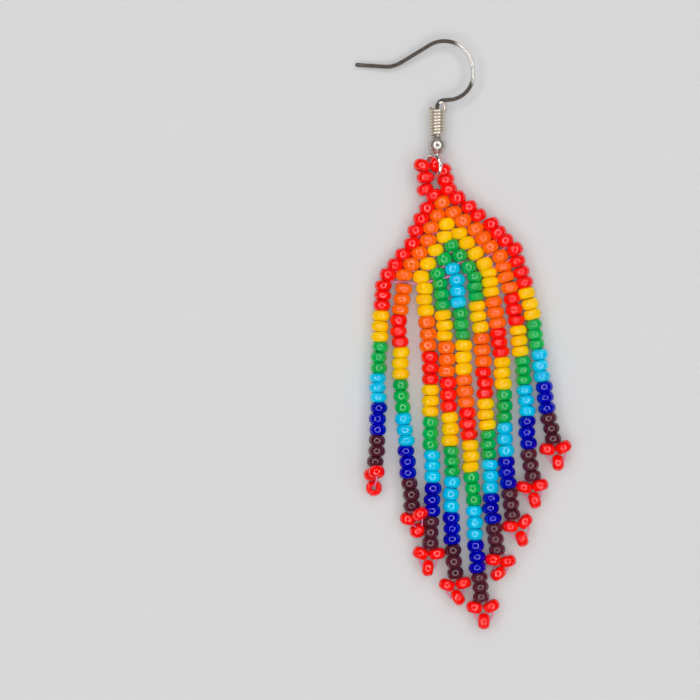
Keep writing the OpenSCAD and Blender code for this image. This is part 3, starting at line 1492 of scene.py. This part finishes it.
@dataclass
class Fringe:
    """The nine strands with their picots.

    Attributes:
        strands: for each strand its colours, Y of its upper end, Y at the end of each colour
            and X at even steps down it.
        picots: for each strand its picot's left, right and lowest bead, each with X, Y, Z,
            turn and rise.
        strand_seed: start of the strands' random differences.
        picot_seed: start of the picots' random differences.
        entry: how far above a strand's lower end the picot's thread leaves it.
        entry_height: of that point above the surface.
    """

    strands: tuple[tuple[str, float, tuple[float, ...], tuple[float, ...]], ...] = (
        ("RYGBDN", 7.70, (3.40, -1.12, -5.60, -9.80, -14.50, -19.10),
         (-11.70, -11.90, -12.05, -12.35, -12.35, -12.40, -12.80)),
        ("ORYGBDN", 7.25, (2.76, -1.87, -6.50, -11.31, -16.03, -20.69, -25.40),
         (-8.65, -9.35, -9.10, -8.95, -8.45, -8.10, -7.40)),
        ("YORYGBDN", 7.40, (2.60, -2.50, -7.21, -11.83, -16.66, -21.29, -26.15, -30.80),
         (-5.75, -5.35, -4.90, -4.90, -4.65, -4.50, -5.00)),
        ("GYORYGBDN", 8.05, (3.45, -1.01, -6.13, -11.20, -16.11, -20.40, -25.56, -30.23, -35.10),
         (-3.45, -2.80, -2.35, -2.00, -1.80, -1.85, -1.15)),
        ("BGYORYGBDN", 8.60,
         (3.78, -0.81, -5.84, -10.55, -15.19, -19.78, -24.59, -29.53, -34.28, -38.45),
         (-1.20, -0.35, 0.10, 0.72, 1.28, 1.70, 2.50)),
        ("GYORYGBDN", 8.98, (4.78, 0.20, -4.73, -9.22, -13.78, -17.98, -22.87, -27.19, -31.70),
         (1.35, 2.10, 2.75, 3.15, 3.60, 3.90, 4.80)),
        ("YORYGBDN", 9.48, (5.36, 0.86, -3.29, -7.95, -12.67, -17.56, -22.20, -26.60),
         (3.40, 4.40, 5.20, 5.70, 5.85, 6.25, 7.05)),
        ("ORYGBDN", 10.40, (5.90, 1.25, -3.19, -7.29, -11.77, -16.50, -21.10),
         (5.60, 6.85, 7.80, 8.50, 9.00, 9.20, 9.80)),
        ("RYGBDN", 11.20, (6.63, 2.08, -2.17, -6.83, -11.37, -15.70),
         (7.55, 8.80, 9.85, 10.60, 11.35, 12.05, 12.85)),
    )
    picots: tuple[tuple[tuple[float, ...], ...], ...] = (
        ((-13.24, -20.16, 1.22, 4, 0), (-12.60, -19.74, 3.24, 6, -20), (-12.95, -22.11, 0.84, 0, 90)),
        ((-8.07, -26.52, 1.24, -14, 6), (-6.33, -25.78, 2.50, 32, -12), (-6.66, -28.20, 1.24, 25, 20)),
        ((-6.25, -31.46, 1.24, -20, 0), (-3.90, -31.53, 1.24, 8, 0), (-5.20, -33.60, 1.24, 84, 0)),
        ((-2.48, -36.04, 1.24, -20, 0), (-0.12, -35.74, 1.24, 15, 0), (-0.90, -37.83, 1.24, 122, 0)),
        ((1.48, -39.24, 1.24, -10, 0), (3.95, -39.06, 1.24, 25, 0), (2.84, -41.24, 1.24, 88, 0)),
        ((4.20, -32.38, 1.50, -3, 0), (6.30, -32.63, 1.22, 15, 0), (4.90, -34.42, 1.24, 34, 0)),
        ((6.64, -27.60, 1.24, -3, 0), (8.76, -26.90, 1.24, 48, 0), (8.28, -29.38, 1.24, 110, 0)),
        ((8.62, -21.98, 1.24, -15, 0), (10.92, -21.70, 1.24, 15, 0), (10.13, -23.88, 1.24, 106, 0)),
        ((11.95, -16.54, 1.24, -8, 0), (14.28, -16.23, 1.24, 27, 0), (13.48, -18.46, 1.24, 95, 0)),
    )

    strand_seed: int = 100
    picot_seed: int = 200
    entry: float = 0.5
    entry_height: float = 1.15

    def build(self, bead: SeedBead) -> None:
        """Makes the strands and their picots one by one.

        Args:
            bead: the pattern to copy.
        """
        for n, (strand, layout) in enumerate(zip(self.strands, self.picots), 1):
            colours, top, marks, bends = strand
            FringeStrand(
                f"beaded_strand_{n}", f"fringe_strand_{n}", "fringe_bead", self.strand_seed + n,
                colours, top, marks, bends,
            ).build(bead)
            entry = (bends[-1], marks[-1] + self.entry, self.entry_height)
            Picot(
                f"beaded_picot_{n}", f"picot_{n}", "red_bead", self.picot_seed + n, entry, layout,
            ).build(bead)


class LampUse(Enum):
    """What a ring of lamps is there for."""

    GLOSS = "seen in gloss only"
    SOFT = "brightens and throws soft shadows, not seen in gloss"
    FILL = "brightens without shadows, not seen in gloss"


@dataclass(frozen=True)
class LightRing:
    """One ring of light panels round the camera.

    Attributes:
        tilt: angle between the vertical and the ring's middle, from the earring.
        band: angle that its lit band takes up.
        radiance: brightness of its face.
        use: what it is there for.
    """

    tilt: float
    band: float
    radiance: float
    use: LampUse

    def hang(self, centre: Vector, reach: float, panels: int) -> None:
        """Hangs the panels, each facing the earring.

        Args:
            centre: what they face, in metres.
            reach: their distance from it, in metres.
            panels: how many there are.
        """
        slant = math.radians(self.tilt)
        width = math.tau * reach * math.sin(slant) / panels
        height = 2 * reach * math.tan(math.radians(self.band) / 2)
        for k in range(panels):
            angle = math.tau * k / panels
            away = Vector((
                math.sin(slant) * math.cos(angle), math.sin(slant) * math.sin(angle),
                math.cos(slant),
            ))
            Bench.clear()
            bpy.ops.object.light_add(type="AREA", location=centre + away * reach)
            panel = bpy.context.object
            panel.name = f"ring_{self.tilt:.0f}_panel_{k + 1}"
            panel.rotation_euler = away.to_track_quat("Z", "Y").to_euler()
            panel.visible_camera = False
            panel.visible_glossy = self.use is LampUse.GLOSS
            panel.visible_diffuse = self.use is not LampUse.GLOSS
            panel.data.use_shadow = self.use is not LampUse.FILL
            panel.data.shape = "RECTANGLE"
            panel.data.size = width
            panel.data.size_y = height
            panel.data.energy = self.radiance * math.pi * width * height


@dataclass
class Studio:
    """Pale floor, rings of soft light and the camera straight above.

    Attributes:
        view_x: X at the middle of the picture.
        view_y: Y at the middle of the picture.
        view_width: width of the picture on the surface.
        distance: of the camera from the surface.
        sensor: width of the camera's sensor.
        near: distance from which the camera sees.
        far: distance up to which it sees.
        floor: side of the floor.
        reach: distance of the rings from the earring.
        rings: the rings of light, from the inside outwards.
        panels: number of light panels in each ring.
        haze: brightness of the room's own light.
    """

    view_x: float = -16.39
    view_y: float = -2.28
    view_width: float = 100.8
    distance: float = 500.0
    sensor: float = 36.0
    near: float = 10.0
    far: float = 10000.0
    floor: float = 1600.0
    reach: float = 1200.0
    rings: tuple[LightRing, ...] = (
        LightRing(10.0, 14.0, 3.8, LampUse.SOFT),
        LightRing(38.5, 9.5, 5.6, LampUse.GLOSS),
        LightRing(42.0, 14.0, 2.35, LampUse.SOFT),
        LightRing(70.0, 20.0, 0.3, LampUse.FILL),
    )
    panels: int = 12
    haze: float = 0.19

    def lay_floor(self) -> None:
        """Lays the floor, which isn't part of the earring."""
        Bench.clear()
        bpy.ops.mesh.primitive_plane_add(size=self.floor * MM, location=(0, 0, 0))
        board = bpy.context.object
        board.name = "pale_floor"
        Bench.dress(board, FloorFinish().material())

    def hang_rings(self) -> None:
        """Hangs all rings of light."""
        centre = Vector((self.view_x, self.view_y, 0.0)) * MM
        for ring in self.rings:
            ring.hang(centre, self.reach * MM, self.panels)

    def set_haze(self) -> None:
        """Gives the room a dim, even light."""
        world = bpy.data.worlds.new("dim_room")
        world.use_nodes = True
        shader = Shader(world.node_tree)
        glow = shader.node(
            "ShaderNodeBackground", {}, {"Color": (1.0, 1.0, 1.0, 1.0), "Strength": self.haze},
        )
        shader.node("ShaderNodeOutputWorld", {}, {"Surface": glow.outputs[0]})
        world.cycles_visibility.glossy = False
        bpy.context.scene.world = world

    def set_camera(self) -> None:
        """Stands the camera straight above the surface."""
        lens = bpy.data.cameras.new("camera")
        camera = bpy.data.objects.new("camera", lens)
        bpy.context.scene.collection.objects.link(camera)
        camera.location = Vector((self.view_x, self.view_y, self.distance)) * MM
        lens.sensor_width = self.sensor
        lens.lens = self.sensor * self.distance / self.view_width
        lens.clip_start = self.near * MM
        lens.clip_end = self.far * MM
        bpy.context.scene.camera = camera
        bpy.context.scene.view_settings.view_transform = "Standard"

    def build(self) -> None:
        """Sets up the whole studio."""
        self.lay_floor()
        self.hang_rings()
        self.set_haze()
        self.set_camera()


def main() -> None:
    """Builds the earring piece by piece, then the studio."""
    logging.basicConfig(level=logging.INFO, format="%(message)s")
    bead = SeedBead()
    EarWire().build()
    Coil().build()
    Ball().build()
    HangingLoop("beaded_loop", "hanging_loop", "red_bead", seed=11).build(bead)
    WovenTop("stitched_top", "woven_top", "woven_bead", seed=12).build(bead)
    Fringe().build(bead)
    bead.put_away()
    Studio().build()
    bpy.context.view_layer.update()


if __name__ == "__main__":
    main()
